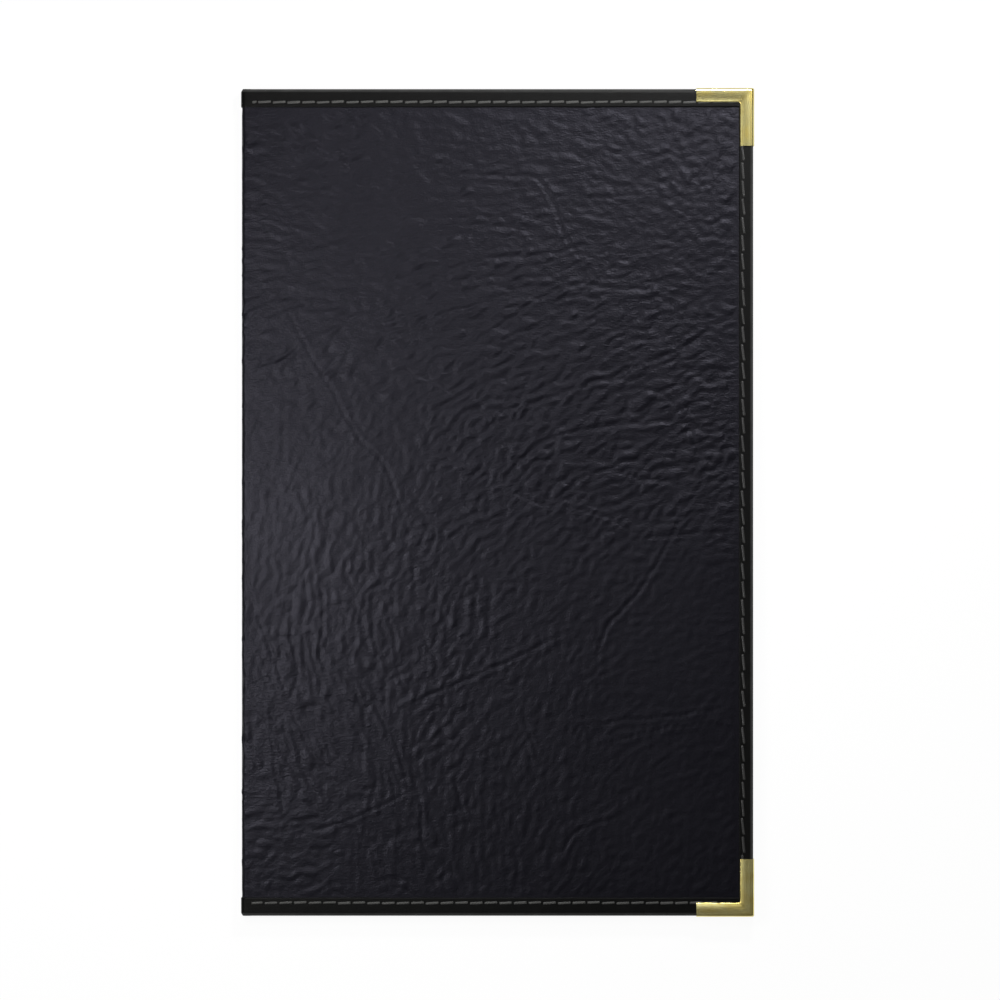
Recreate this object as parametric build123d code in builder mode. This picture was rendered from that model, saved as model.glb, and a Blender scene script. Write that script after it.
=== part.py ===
from build123d import *
import os

# Menu cover: two stiff leather leaves joined by a narrow folding spine, closed and
# lying flat with the front leaf up. Spine at -X, top edge at +Y, +Z up, origin at the
# middle of the base. All sizes in millimetres.

# Overall size of the closed cover
cover_width = 231.0
cover_height = 373.0

# Layers of one leaf, from the outside inwards
leather_thickness = 1.0
seam_pinch = 0.2
pinch_chamfer = 0.15
board_thickness = 1.2
lining_thickness = 0.3
vinyl_thickness = 0.25
pocket_room = 0.35

# Binding strips sewn over the edges
binding_thickness = 0.5
long_binding_width = 8.5
side_binding_width = 6.7
inner_flange_setback = 1.0
binding_fold_radius = 1.2
binding_edge_radius = 0.2

# Brass corners pressed from sheet
brass_thickness = 0.4
corner_leg_length = 26.0
corner_leg_width = 6.4
corner_outer_dome = 0.5
corner_inner_dome = 0.2
corner_edge_radius = 0.9
corner_plan_radius = 0.8

# Spine and folds
crease_radius = 2.0
board_setback = 3.0
pocket_setback = 1.0

# Clearances
closing_gap = 0.2
flange_clearance = 0.1
field_clearance = 0.15

# Levels of one leaf, measured outwards from the plane where the leaves close
corner_inner_level = closing_gap / 2
binding_inner_level = corner_inner_level + corner_inner_dome + brass_thickness
vinyl_level = binding_inner_level + binding_thickness
lining_level = vinyl_level + vinyl_thickness
board_level = lining_level + lining_thickness
leather_level = board_level + board_thickness
pinched_level = leather_level + leather_thickness - seam_pinch
field_level = leather_level + leather_thickness
binding_outer_level = pinched_level + binding_thickness
corner_outer_level = binding_outer_level + brass_thickness + corner_outer_dome
closing_height = corner_outer_level
cover_thickness = 2 * closing_height

# Distances of the edges from the middle of the cover
fore_binding_x = cover_width / 2 - brass_thickness
fore_layer_x = fore_binding_x - binding_thickness
spine_x = -cover_width / 2
crease_x = spine_x + crease_radius
board_x = crease_x + board_setback
pocket_x = board_x + pocket_setback
top_binding_y = cover_height / 2 - brass_thickness
top_layer_y = top_binding_y - binding_thickness

# Inner edges of the binding strips, outside and inside the leaf
field_x = fore_binding_x - side_binding_width
field_y = top_binding_y - long_binding_width
inner_flange_x = field_x + inner_flange_setback
inner_flange_y = field_y + inner_flange_setback

# Insets of the spine's layers from the outer face of the binding
leather_inset = binding_outer_level - leather_level
field_inset = binding_outer_level - field_level
lining_inset = leather_inset + lining_thickness
flange_inset = lining_inset + binding_thickness

os.makedirs("parts", exist_ok=True)


def write(piece, name):
    """Label a finished piece and save it."""
    piece.part.label = name
    export_step(piece.part, f"parts/{name}.step")


def height(side, level):
    """Height of a level of the front (side 1) or back (side -1) leaf."""
    return closing_height + side * level


def band(side, x_low, x_high, level_low, level_high):
    """A rectangle of the open sketch, between two distances and two levels of a leaf."""
    z_low = height(side, level_low)
    z_high = height(side, level_high)
    with Locations(((x_low + x_high) / 2, (z_low + z_high) / 2)):
        Rectangle(x_high - x_low, abs(z_high - z_low))


def slab(side, level_low, level_high, x_low, x_high, y_half, mode=Mode.ADD):
    """A flat layer of the open part, centred on the cover's middle line."""
    with BuildSketch(Plane.XY.offset(height(side, level_low))) as outline:
        with Locations(((x_low + x_high) / 2, 0)):
            Rectangle(x_high - x_low, 2 * y_half)
    extrude(outline.sketch, amount=side * (level_high - level_low), mode=mode)


def make_leather(side, name):
    """Outer leather: a full sheet, thinner where the seams pinch it under the bindings."""
    with BuildPart() as leather:
        slab(side, leather_level, pinched_level, crease_x, fore_layer_x, top_layer_y)
        slab(
            side,
            pinched_level,
            field_level,
            crease_x,
            field_x - field_clearance,
            field_y - field_clearance,
        )
        outer_face = leather.faces().sort_by(Axis.Z)[-1 if side > 0 else 0]
        rims = outer_face.edges().sort_by(Axis.X)[1:]
        chamfer(rims, length=min(pinch_chamfer, 0.75 * seam_pinch))
    write(leather, name)


def make_board(side, name):
    """Stiff board, set back from the crease so that the fold stays soft."""
    with BuildPart() as board:
        slab(side, board_level, leather_level, board_x, fore_layer_x, top_layer_y)
    write(board, name)


def make_lining(side, name):
    """Lining: covers the board, goes down its spine edge and lies on the leather there."""
    with BuildPart() as lining:
        with BuildSketch(Plane.XZ):
            band(side, board_x - lining_thickness, fore_layer_x, lining_level, board_level)
            band(side, board_x - lining_thickness, board_x, lining_level, leather_level)
            band(side, crease_x, board_x, leather_level - lining_thickness, leather_level)
        extrude(amount=top_layer_y, both=True)
    write(lining, name)


def make_pocket(side, name):
    """Clear pocket: a sheet raised by the pocket's room, flat where the bindings hold it."""
    wall_x = inner_flange_x - flange_clearance
    wall_y = inner_flange_y - flange_clearance
    room_x = wall_x - vinyl_thickness
    room_y = wall_y - vinyl_thickness
    roof_level = lining_level - pocket_room - vinyl_thickness
    room_level = roof_level + vinyl_thickness
    with BuildPart() as pocket:
        slab(side, vinyl_level, lining_level, pocket_x, fore_layer_x, top_layer_y)
        slab(side, roof_level, lining_level, pocket_x, wall_x, wall_y)
        slab(side, room_level, lining_level, pocket_x, room_x, room_y, mode=Mode.SUBTRACT)
    write(pocket, name)


def make_long_binding(side, end, name):
    """Top (end 1) or bottom (end -1) binding: a strip folded over the edge of the leaf.

    Inside the leaf it follows the lining down to the crease.
    """
    wall_x = board_x - lining_thickness
    step_x = wall_x - binding_thickness
    tongue_level = leather_level - lining_thickness - binding_thickness
    with BuildPart() as binding:
        with BuildSketch(Plane.XZ.offset(-end * top_layer_y)):
            band(side, crease_x, fore_binding_x, tongue_level, binding_outer_level)
            band(side, step_x, fore_binding_x, binding_inner_level, tongue_level)
        extrude(amount=-end * binding_thickness)
        with BuildSketch(Plane.XZ.offset(-end * field_y)):
            band(side, crease_x, fore_binding_x, pinched_level, binding_outer_level)
        extrude(amount=-end * (top_layer_y - field_y))
        with BuildSketch(Plane.XZ.offset(-end * inner_flange_y)):
            band(side, step_x, fore_binding_x, binding_inner_level, vinyl_level)
            band(side, step_x, wall_x, binding_inner_level, tongue_level + binding_thickness)
            band(side, crease_x, wall_x, tongue_level, tongue_level + binding_thickness)
        extrude(amount=-end * (top_layer_y - inner_flange_y))
        long_edges = binding.edges().filter_by(Axis.X)
        fold_edges = long_edges.sort_by(Axis.Y)[-3:] if end > 0 else long_edges.sort_by(Axis.Y)[:3]
        fold_edges = fold_edges.sort_by(SortBy.LENGTH)[-2:]
        fillet(fold_edges, radius=binding_fold_radius)
        lip = binding.faces().sort_by(Axis.Z)[-1 if side > 0 else 0].edges().filter_by(Axis.X)
        fillet(lip.sort_by(Axis.Y)[0 if end > 0 else -1], radius=binding_edge_radius)
    write(binding, name)


def make_side_binding(side, name):
    """Fore-edge binding: a strip folded over the edge, butted between the long ones."""
    with BuildPart() as binding:
        with BuildSketch(Plane.XZ):
            band(side, fore_layer_x, fore_binding_x, binding_inner_level, binding_outer_level)
            band(side, field_x, fore_binding_x, pinched_level, binding_outer_level)
            band(side, inner_flange_x, fore_binding_x, binding_inner_level, vinyl_level)
        extrude(amount=field_y, both=True)
        long_edges = binding.edges().filter_by(Axis.Y)
        fillet(long_edges.sort_by(Axis.X)[-2:], radius=binding_fold_radius)
        lip = binding.faces().sort_by(Axis.Z)[-1 if side > 0 else 0].edges().filter_by(Axis.Y)
        fillet(lip.sort_by(Axis.X)[0], radius=binding_edge_radius)
    write(binding, name)


def make_corner(side, end, name):
    """Brass corner: a domed channel of sheet, mitred round the free corner of the leaf."""
    inner_edge = -corner_leg_width
    inner_wall = -brass_thickness
    crest = -corner_leg_width / 2
    outer_low = height(side, binding_outer_level)
    outer_high = height(side, binding_outer_level + brass_thickness)
    outer_crest = height(side, corner_outer_level)
    outer_hollow = height(side, corner_outer_level - brass_thickness)
    inner_low = height(side, binding_inner_level)
    inner_high = height(side, binding_inner_level - brass_thickness)
    inner_crest = height(side, corner_inner_level)
    inner_hollow = height(side, corner_inner_level + brass_thickness)
    corner_x = cover_width / 2
    corner_y = end * cover_height / 2
    leg_end_y = corner_y - end * corner_leg_length
    with BuildPart() as corner:
        with BuildLine() as path:
            Polyline(
                (corner_x, leg_end_y, 0),
                (corner_x, corner_y, 0),
                (corner_x - corner_leg_length, corner_y, 0),
            )
        profile_plane = Plane(origin=(corner_x, leg_end_y, 0), x_dir=(1, 0, 0), z_dir=(0, -1, 0))
        with BuildSketch(profile_plane) as profile:
            with BuildLine():
                ThreePointArc((inner_edge, outer_high), (crest, outer_crest), (0, outer_high))
                Line((0, outer_high), (0, inner_high))
                ThreePointArc((0, inner_high), (crest, inner_crest), (inner_edge, inner_high))
                Line((inner_edge, inner_high), (inner_edge, inner_low))
                ThreePointArc(
                    (inner_edge, inner_low), (crest, inner_hollow), (inner_wall, inner_low)
                )
                Line((inner_wall, inner_low), (inner_wall, outer_low))
                ThreePointArc(
                    (inner_wall, outer_low), (crest, outer_hollow), (inner_edge, outer_low)
                )
                Line((inner_edge, outer_low), (inner_edge, outer_high))
            make_face()
            fillet(profile.vertices().sort_by(Axis.X)[-2:], radius=corner_edge_radius)
        sweep(path=path.line, transition=Transition.RIGHT)
        with BuildSketch(Plane.XY):
            with Locations((corner_x - corner_plan_radius / 2, corner_y - end * corner_plan_radius / 2)):
                Rectangle(corner_plan_radius, corner_plan_radius)
            with Locations((corner_x - corner_plan_radius, corner_y - end * corner_plan_radius)):
                Circle(corner_plan_radius, mode=Mode.SUBTRACT)
        extrude(amount=cover_thickness, mode=Mode.SUBTRACT)
    write(corner, name)


def spine_outline(inset):
    """Closed section of the spine, its outer face moved inwards by the inset."""
    half_height = binding_outer_level - inset
    radius = crease_radius - inset
    width = crease_x - spine_x - inset
    with BuildSketch(Plane.XZ) as outline:
        with Locations((crease_x - width / 2, closing_height)):
            Rectangle(width, 2 * half_height)
        if radius > 0:
            fillet(outline.vertices().sort_by(Axis.X)[:2], radius=radius)
    return outline.sketch


def make_spine_leather(name):
    """Leather of the spine: thinner under the bindings, full in between."""
    with BuildPart() as leather:
        with BuildSketch(Plane.XZ):
            add(spine_outline(binding_thickness))
            add(spine_outline(leather_inset), mode=Mode.SUBTRACT)
        extrude(amount=top_layer_y, both=True)
        with BuildSketch(Plane.XZ):
            add(spine_outline(field_inset))
            add(spine_outline(leather_inset), mode=Mode.SUBTRACT)
        extrude(amount=field_y - field_clearance, both=True)
    write(leather, name)


def make_spine_lining(name):
    """Lining of the spine, on the inside of its leather."""
    with BuildPart() as lining:
        with BuildSketch(Plane.XZ):
            add(spine_outline(leather_inset))
            add(spine_outline(lining_inset), mode=Mode.SUBTRACT)
        extrude(amount=top_layer_y, both=True)
    write(lining, name)


def make_spine_binding(end, name):
    """The stretch of the top or bottom binding that goes round the spine."""
    with BuildPart() as binding:
        with BuildSketch(Plane.XZ.offset(-end * field_y)):
            add(spine_outline(0))
            add(spine_outline(binding_thickness), mode=Mode.SUBTRACT)
        extrude(amount=-end * (top_layer_y - field_y))
        with BuildSketch(Plane.XZ.offset(-end * inner_flange_y)):
            add(spine_outline(lining_inset))
            add(spine_outline(flange_inset), mode=Mode.SUBTRACT)
        extrude(amount=-end * (top_layer_y - inner_flange_y))
        with BuildSketch(Plane.XZ.offset(-end * top_layer_y)):
            add(spine_outline(0))
            add(spine_outline(flange_inset), mode=Mode.SUBTRACT)
        extrude(amount=-end * binding_thickness)
    write(binding, name)


for side, leaf in ((-1, "back"), (1, "front")):
    make_leather(side, f"{leaf}_leather")
    make_board(side, f"{leaf}_board")
    make_lining(side, f"{leaf}_lining")
    make_pocket(side, f"{leaf}_pocket")
    make_side_binding(side, f"{leaf}_side_binding")
    for end, edge in ((-1, "bottom"), (1, "top")):
        make_long_binding(side, end, f"{leaf}_{edge}_binding")
        make_corner(side, end, f"{leaf}_{edge}_corner")

make_spine_leather("spine_leather")
make_spine_lining("spine_lining")
for end, edge in ((-1, "bottom"), (1, "top")):
    make_spine_binding(end, f"spine_{edge}_binding")
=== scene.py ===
import math

import bmesh
import bpy
import numpy as np
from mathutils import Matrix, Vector


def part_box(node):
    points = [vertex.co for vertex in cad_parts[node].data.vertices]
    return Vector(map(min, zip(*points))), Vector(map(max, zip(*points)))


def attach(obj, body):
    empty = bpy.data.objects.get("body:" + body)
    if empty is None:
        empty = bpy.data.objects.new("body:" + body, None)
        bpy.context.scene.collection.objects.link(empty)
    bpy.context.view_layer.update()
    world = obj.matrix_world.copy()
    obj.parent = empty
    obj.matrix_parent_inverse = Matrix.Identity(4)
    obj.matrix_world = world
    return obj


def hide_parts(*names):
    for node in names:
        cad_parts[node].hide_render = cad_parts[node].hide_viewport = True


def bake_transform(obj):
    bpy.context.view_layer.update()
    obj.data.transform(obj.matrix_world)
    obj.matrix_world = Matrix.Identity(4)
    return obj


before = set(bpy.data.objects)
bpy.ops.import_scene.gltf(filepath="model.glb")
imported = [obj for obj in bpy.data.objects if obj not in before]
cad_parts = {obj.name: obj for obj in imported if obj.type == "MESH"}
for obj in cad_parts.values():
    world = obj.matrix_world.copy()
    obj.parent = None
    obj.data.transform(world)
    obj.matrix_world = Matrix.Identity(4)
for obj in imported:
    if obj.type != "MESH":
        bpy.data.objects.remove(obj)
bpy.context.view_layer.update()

bl_info = {
    "name": "Menu cover",
    "version": (1, 0, 0),
    "blender": (4, 5, 0),
    "location": "3D View > Sidebar > Menu cover",
    "description": "Leather menu cover with sewn binding strips, clear pockets and brass corners",
    "category": "Object",
}

# Everything is in metres. A level is a distance from the plane where the two leaves meet.
MM = 0.001

LEAVES = {"front": 1, "back": -1}
ENDS = {"top": 1, "bottom": -1}


def level_range(node):
    """The levels between which a piece of the front leaf lies."""
    low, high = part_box(node)
    return low.z - CLOSING_Z, high.z - CLOSING_Z


# Places and levels read from the frame
CLOSING_Z = sum(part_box("spine_leather"), Vector()).z / 2
SPINE_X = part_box("spine_top_binding")[0].x
CREASE_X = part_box("front_leather")[0].x
BOARD_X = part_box("front_board")[0].x
POCKET_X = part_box("front_pocket")[0].x
LAYER_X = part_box("front_leather")[1].x
LAYER_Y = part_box("front_leather")[1].y
STRIP_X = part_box("front_side_binding")[1].x
STRIP_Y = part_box("front_top_binding")[1].y
FIELD_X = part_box("front_side_binding")[0].x
FIELD_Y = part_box("front_top_binding")[0].y
LEATHER_LEVEL, FIELD_LEVEL = level_range("front_leather")
INNER_LEVEL, STRIP_LEVEL = level_range("front_top_binding")
LINING_LEVEL = level_range("front_lining")[0]
BOARD_LEVEL = level_range("front_board")[0]
POCKET_LEVEL = level_range("front_pocket")[0]
STRIP_THICKNESS = STRIP_X - LAYER_X
LINING_THICKNESS = BOARD_LEVEL - LINING_LEVEL
PINCHED_LEVEL = STRIP_LEVEL - STRIP_THICKNESS
CREASE_RADIUS = CREASE_X - SPINE_X
CORNER_LOW, CORNER_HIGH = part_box("front_top_corner")

# Free edges: how far a layer stops short inside a seam, and how relief fades out towards one
HIDDEN_TRIM = 0.7 * MM
EDGE_X, EDGE_Y = LAYER_X - HIDDEN_TRIM, LAYER_Y - HIDDEN_TRIM
SPINE_FADE = 2.0 * MM
SEAM_FADE = 2.5 * MM
PILLOW_WIDTH = 3.0 * MM
ARC_STEPS = 8                      # faces round a bend of a section
LEAST_RADIUS = 0.05 * MM

# Lining and pockets
INNER_STEP = 12 * MM               # size of faces that no one sees
LINING_STEP = 3.5 * MM
LINING_BEND = 0.5 * MM
LINING_WAVE = 0.05 * MM
LINING_DRIFT = (16 * MM, 22 * MM)  # distance between waves, along and across the leaf
LINING_SEED = 61
VINYL_THICKNESS = 0.25 * MM
POCKET_STEP = 3 * MM
POCKET_SLOPE = 5 * MM
POCKET_DRIFT = (38 * MM, 46 * MM)
POCKET_SEED = 91

# Binding strips
STRIP_ALONG = 0.6 * MM
STRIP_ACROSS = 0.36 * MM
STRIP_FOLD = 1.45 * MM
STRIP_SWELL = 0.05 * MM
# Painted highlight along the fold of each strip: its width, and its pale colour
FOLD_HIGHLIGHT_WIDTH = 1.6 * MM               # of the fold, painted pale as a highlight
FOLD_HIGHLIGHT = (0.040, 0.040, 0.039)
SPINE_DEPTH = 1.95 * MM            # of a strip where it goes round the spine
SPINE_OPENING = 1.2 * MM
FLANGE_SETBACK = 1.0 * MM
FREE_EDGE_DROP = 0.16 * MM
EDGE_WANDER = 0.10 * MM
# Distance from one bend to the next of a strip's inner edge and of its swell
LONG_DRIFT, SIDE_DRIFT, SWELL_DRIFT = 17 * MM, 19 * MM, 11 * MM
LONG_EDGE_SEED, SWELL_SEED, SIDE_EDGE_SEED = 51, 52, 53
SEAM_GROOVE = 0.85 * MM
HOLE_REACH = 0.9 * MM
PUCKER_HEIGHT = 0.20 * MM
PUCKER_PLACE = 1.05 * MM
PUCKER_WIDTH = 0.65 * MM

# Stitches: where each row starts, from the spine's face or along the fore edge
FIRST_HOLE = {"top": 7.3 * MM, "bottom": 10.2 * MM}
FIRST_STITCH = {"top": 2.4 * MM, "bottom": 5.9 * MM}
SIDE_FIRST_HOLE = -174.5 * MM
STITCH_STATIONS = 13
STITCH_SIDES = 8
THREAD_HEIGHT = 0.26 * MM
THREAD_SINK = 0.35 * MM
THREAD_LIE = 0.75                  # share of the seam's depth at which the thread lies
THREAD_ROUND = 0.55                # height of the thread's section against THREAD_HEIGHT
LONG_LIFT = (1.0, 0.15)            # rise of a stitch's body and of the humps at its ends
SIDE_LIFT = (0.55, 0.75)
HUMP_PLACE = 0.86
HUMP_WIDTH = 0.11
HOLE_GAP = 0.25 * MM
ROW_WANDER = 0.35 * MM
LONG_SLANT = 0.16 * MM
SIDE_SLANT = 0.42 * MM
LONG_ROW_SEED, SIDE_ROW_SEED = 5, 6

# Brass corners
BRASS_THICKNESS = 0.4 * MM
CORNER_LEG_WIDTH = 6.4 * MM
BRASS_FOLD = 0.75 * MM
BRASS_STEP = 0.25 * MM
BRASS_CROWN = 0.15                 # place of the dome's crown, as a share of the leg's width
BRASS_PLAN_RADIUS = 0.8 * MM
DRAW_LINES = 2200                  # per metre, across a leg
CORNER_STATIONS = 12

# Studio
FLOOR_REACH = 4.0
FLOOR_GLOW = 0.95                  # how white the floor looks, apart from its shadow
CAMERA_DISTANCE = 3.0
VIEW_WIDTH = 0.45
VIEW_CENTRE = (1.1 * MM, 1.1 * MM)
# The surround's light by height, from the horizon at 0 to overhead at 1
WORLD_STOPS = ((0.0, 0.90), (0.16, 0.50), (0.35, 0.10), (0.75, 0.08), (0.94, 0.14), (1.0, 0.20))
# Lamps: name, place, the place that it faces, size and power in watts
LAMPS = (
    ("glow_lamp", (-0.18, 0.02, 0.43), (-0.10, -0.01, 0), (0.10, 0.10), 0.95),
    ("low_lamp", (-0.24, -0.10, 0.40), (-0.10, -0.10, 0), (0.10, 0.10), 0.55),
    ("top_lamp", (0.14, 0.36, 0.46), (0.09, 0.15, 0), (0.10, 0.10), 3.1),
    ("corner_card", (0.12, -0.01, 0.60), (0.12, 0, 0), (0.12, 0.06), 0.055),
    ("left_card", (-0.05, 0, 0.42), (0.10, 0, 0), (0.50, 0.08), 0.12),
    ("right_card", (0.27, 0, 0.42), (0.10, 0, 0), (0.50, 0.03), 0.03),
)


# Sizes and colours that a user may change

class CoverSizes(bpy.types.PropertyGroup):
    """Sizes of the sewn and pressed details."""

    crease_depth: bpy.props.FloatProperty(
        name="Crease depth", description="Depth of the deepest natural creases of the leather",
        default=0.42 * MM, min=0, subtype="DISTANCE", unit="LENGTH")
    wrinkle_depth: bpy.props.FloatProperty(
        name="Wrinkle depth", description="Depth of the network of small wrinkles",
        default=0.42 * MM, min=0, subtype="DISTANCE", unit="LENGTH")
    wrinkle_spacing: bpy.props.FloatProperty(
        name="Wrinkle spacing", description="Distance between neighbouring wrinkles",
        default=4.6 * MM, min=1 * MM, subtype="DISTANCE", unit="LENGTH")
    grid_step: bpy.props.FloatProperty(
        name="Grid step", description="Size of the faces that carry the creases",
        default=0.98 * MM, min=0.8 * MM, subtype="DISTANCE", unit="LENGTH")
    long_pitch: bpy.props.FloatProperty(
        name="Long stitch pitch", description="From hole to hole along the top and bottom edges",
        default=6.6 * MM, min=2 * MM, subtype="DISTANCE", unit="LENGTH")
    side_pitch: bpy.props.FloatProperty(
        name="Side stitch pitch", description="From hole to hole along the fore edge",
        default=8.2 * MM, min=2 * MM, subtype="DISTANCE", unit="LENGTH")
    long_seam: bpy.props.FloatProperty(
        name="Long seam distance", description="From the fold of a long strip to its stitches",
        default=5.9 * MM, min=2 * MM, subtype="DISTANCE", unit="LENGTH")
    side_seam: bpy.props.FloatProperty(
        name="Side seam distance", description="From the fold of the side strip to its stitches",
        default=4.6 * MM, min=2 * MM, subtype="DISTANCE", unit="LENGTH")
    thread_width: bpy.props.FloatProperty(
        name="Thread width", description="Width of the thread where it lies on a strip",
        default=1.1 * MM, min=0.2 * MM, subtype="DISTANCE", unit="LENGTH")
    seam_depth: bpy.props.FloatProperty(
        name="Seam depth", description="How far the stitches pull a strip down",
        default=0.22 * MM, min=0, subtype="DISTANCE", unit="LENGTH")


class CoverColours(bpy.types.PropertyGroup):
    """Colours of the finishes."""

    leather: bpy.props.FloatVectorProperty(
        name="Leather", description="Dyed leather of the outside", size=3, subtype="COLOR",
        min=0, max=1, default=(0.0022, 0.0021, 0.0034))
    strip: bpy.props.FloatVectorProperty(
        name="Binding", description="Binding strips", size=3, subtype="COLOR",
        min=0, max=1, default=(0.0020, 0.0020, 0.0019))
    thread: bpy.props.FloatVectorProperty(
        name="Thread", description="Sewing thread", size=3, subtype="COLOR",
        min=0, max=1, default=(0.060, 0.060, 0.057))
    # The fore-edge thread is the sewing thread painted darker, as painted shade on that row
    side_thread: bpy.props.FloatVectorProperty(
        name="Side thread", description="Shaded thread of the fore edge", size=3, subtype="COLOR",
        min=0, max=1, default=(0.030, 0.030, 0.029))
    brass: bpy.props.FloatVectorProperty(
        name="Brass", description="Plated corners", size=3, subtype="COLOR",
        min=0, max=1, default=(0.77, 0.69, 0.31))
    lining: bpy.props.FloatVectorProperty(
        name="Lining", description="Woven cloth inside the leaves", size=3, subtype="COLOR",
        min=0, max=1, default=(0.016, 0.016, 0.018))
    vinyl: bpy.props.FloatVectorProperty(
        name="Vinyl", description="Clear pockets", size=3, subtype="COLOR",
        min=0, max=1, default=(0.96, 0.97, 0.98))
    board: bpy.props.FloatVectorProperty(
        name="Board", description="Grey board inside the leaves", size=3, subtype="COLOR",
        min=0, max=1, default=(0.24, 0.21, 0.17))
    floor: bpy.props.FloatVectorProperty(
        name="Floor", description="Studio floor", size=3, subtype="COLOR",
        min=0, max=1, default=(0.92, 0.92, 0.92))


# Meshes

def mesh_piece(name, points, faces, material, flat_faces=()):
    """A new mesh piece, smooth apart from the listed faces, with its normals outwards."""
    mesh = bpy.data.meshes.new(name)
    mesh.from_pydata(np.asarray(points, float).reshape(-1, 3).tolist(), [], faces)
    smooth = np.ones(len(mesh.polygons), bool)
    smooth[list(flat_faces)] = False
    mesh.polygons.foreach_set("use_smooth", smooth)
    work = bmesh.new()
    work.from_mesh(mesh)
    bmesh.ops.recalc_face_normals(work, faces=work.faces)
    for edge in work.edges:
        if len(edge.link_faces) == 2 and not all(face.smooth for face in edge.link_faces):
            edge.smooth = False
    work.to_mesh(mesh)
    work.free()
    mesh.materials.append(material)
    piece = bpy.data.objects.new(name, mesh)
    bpy.context.scene.collection.objects.link(piece)
    return piece


def grid_faces(rows, columns, start=0):
    """Quads between the points of a grid that is stored row by row."""
    index = start + np.arange(rows * columns).reshape(rows, columns)
    quads = np.stack([index[:-1, :-1], index[1:, :-1], index[1:, 1:], index[:-1, 1:]], -1)
    return quads.reshape(-1, 4).tolist()


def closed_sheet(name, outer, inner, material):
    """A sheet with two faces, each a grid of its own fineness, and a rim along all four edges."""
    rows, columns = outer.shape[:2]
    low_rows, low_columns = inner.shape[:2]
    points = np.concatenate([outer.reshape(-1, 3), inner.reshape(-1, 3)])
    faces = grid_faces(rows, columns) + grid_faces(low_rows, low_columns, rows * columns)
    top = np.arange(rows * columns).reshape(rows, columns)
    low = rows * columns + np.arange(low_rows * low_columns).reshape(low_rows, low_columns)
    rims = [
        list(top[0]) + list(low[0][::-1]),
        list(top[-1]) + list(low[-1][::-1]),
        list(top[:, 0]) + list(low[:, 0][::-1]),
        list(top[:, -1]) + list(low[:, -1][::-1]),
    ]
    first = len(faces)
    faces += [[int(i) for i in rim] for rim in rims]
    return mesh_piece(name, points, faces, material, range(first, len(faces)))


def add_vector(piece, name, values):
    """A vector on each point of a piece, for its material; points past the last value get zero."""
    vectors = np.zeros((len(piece.data.vertices), 3), np.float32)
    vectors[:values.size // 3] = values.reshape(-1, 3)
    stored = piece.data.attributes.new(name, "FLOAT_VECTOR", "POINT")
    stored.data.foreach_set("vector", vectors.ravel())


def bar_faces(stations, count, base=0):
    """Faces of a bar: quads between its rings of points, and last a cap at each end."""
    faces = []
    for row in range(base, base + (stations - 1) * count, count):
        for j in range(count):
            k = (j + 1) % count
            faces.append([row + j, row + count + j, row + count + k, row + k])
    end = base + (stations - 1) * count
    return faces + [list(range(base, base + count)), list(range(end, end + count))]


def swept_ring(name, rings, material):
    """A bar with the closed section rings[station, point], capped at both ends."""
    faces = bar_faces(*rings.shape[:2])
    return mesh_piece(name, rings, faces, material, (len(faces) - 2, len(faces) - 1))


def rounded_path(corners, radius, step):
    """A path of straight runs and round corners, as points no further apart than the step."""
    corners = [np.array(c, float) for c in corners]
    points = [corners[0]]
    for before, corner, after in zip(corners, corners[1:], corners[2:]):
        inward, outward = before - corner, after - corner
        room = min(np.linalg.norm(inward), np.linalg.norm(outward))
        inward, outward = inward / np.linalg.norm(inward), outward / np.linalg.norm(outward)
        half = math.acos(max(-1, min(1, float(inward @ outward)))) / 2
        reach = min(radius / math.tan(half), 0.49 * room)
        middle = inward + outward
        centre = corner + middle / np.linalg.norm(middle) * reach / math.cos(half)
        start = corner + inward * reach - centre
        turn = math.pi - 2 * half
        sense = -np.sign(inward[0] * outward[1] - inward[1] * outward[0])
        for share in np.linspace(0, 1, ARC_STEPS + 1):
            c, s = math.cos(sense * turn * share), math.sin(sense * turn * share)
            points.append(centre + (start[0] * c - start[1] * s, start[0] * s + start[1] * c))
    points.append(corners[-1])
    filled = [points[0]]
    for a, b in zip(points, points[1:]):
        pieces = max(1, math.ceil(np.linalg.norm(b - a) / step))
        filled += [a + (b - a) * (k + 1) / pieces for k in range(pieces)]
    return np.array(filled)


def edge_thickness(middle, half, least):
    """Share of a sheet's thickness along its section: rounded off at its two free edges."""
    run = run_length(middle)
    from_edge = np.minimum(run, run[-1] - run)
    return np.sqrt(1 - (1 - np.clip(from_edge / half, least, 1)) ** 2)


def sheet_section(middle, normals, half, share):
    """Closed section of a sheet: out along one face of its middle line and back along the other."""
    shift = normals * (half * share)[:, None]
    return np.concatenate([middle - shift, (middle + shift)[::-1]])


def path_normals(path):
    """Unit normals on the left of a path."""
    along = np.gradient(path, axis=0)
    along /= np.linalg.norm(along, axis=1)[:, None]
    return np.stack([-along[:, 1], along[:, 0]], 1)


def run_length(path):
    """Distance along a path at each of its points."""
    return np.concatenate([[0], np.cumsum(np.linalg.norm(np.diff(path, axis=0), axis=1))])


def smooth_step(value, low, high):
    """0 below low, 1 above high and a smooth rise between them."""
    share = np.clip((value - low) / (high - low), 0, 1)
    return share * share * (3 - 2 * share)


def spaced(low, high, step):
    """Evenly spaced places from low to high, about a step apart."""
    return np.linspace(low, high, max(2, round((high - low) / step) + 1))


def across_leaf(step):
    """Places from the bottom edge to the top edge, evenly spaced between the long strips."""
    return np.concatenate([[-EDGE_Y], spaced(-FIELD_Y, FIELD_Y, step), [EDGE_Y]])


def inside_strips(along, across):
    """Distance from the strips, over the field between them."""
    return np.minimum(FIELD_X - along, FIELD_Y - np.abs(across))


def in_frame(x, y, level, side):
    """Points of a leaf as places in the frame."""
    return np.stack(np.broadcast_arrays(x, y, CLOSING_Z + side * level), -1)


# Relief of the leather

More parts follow.
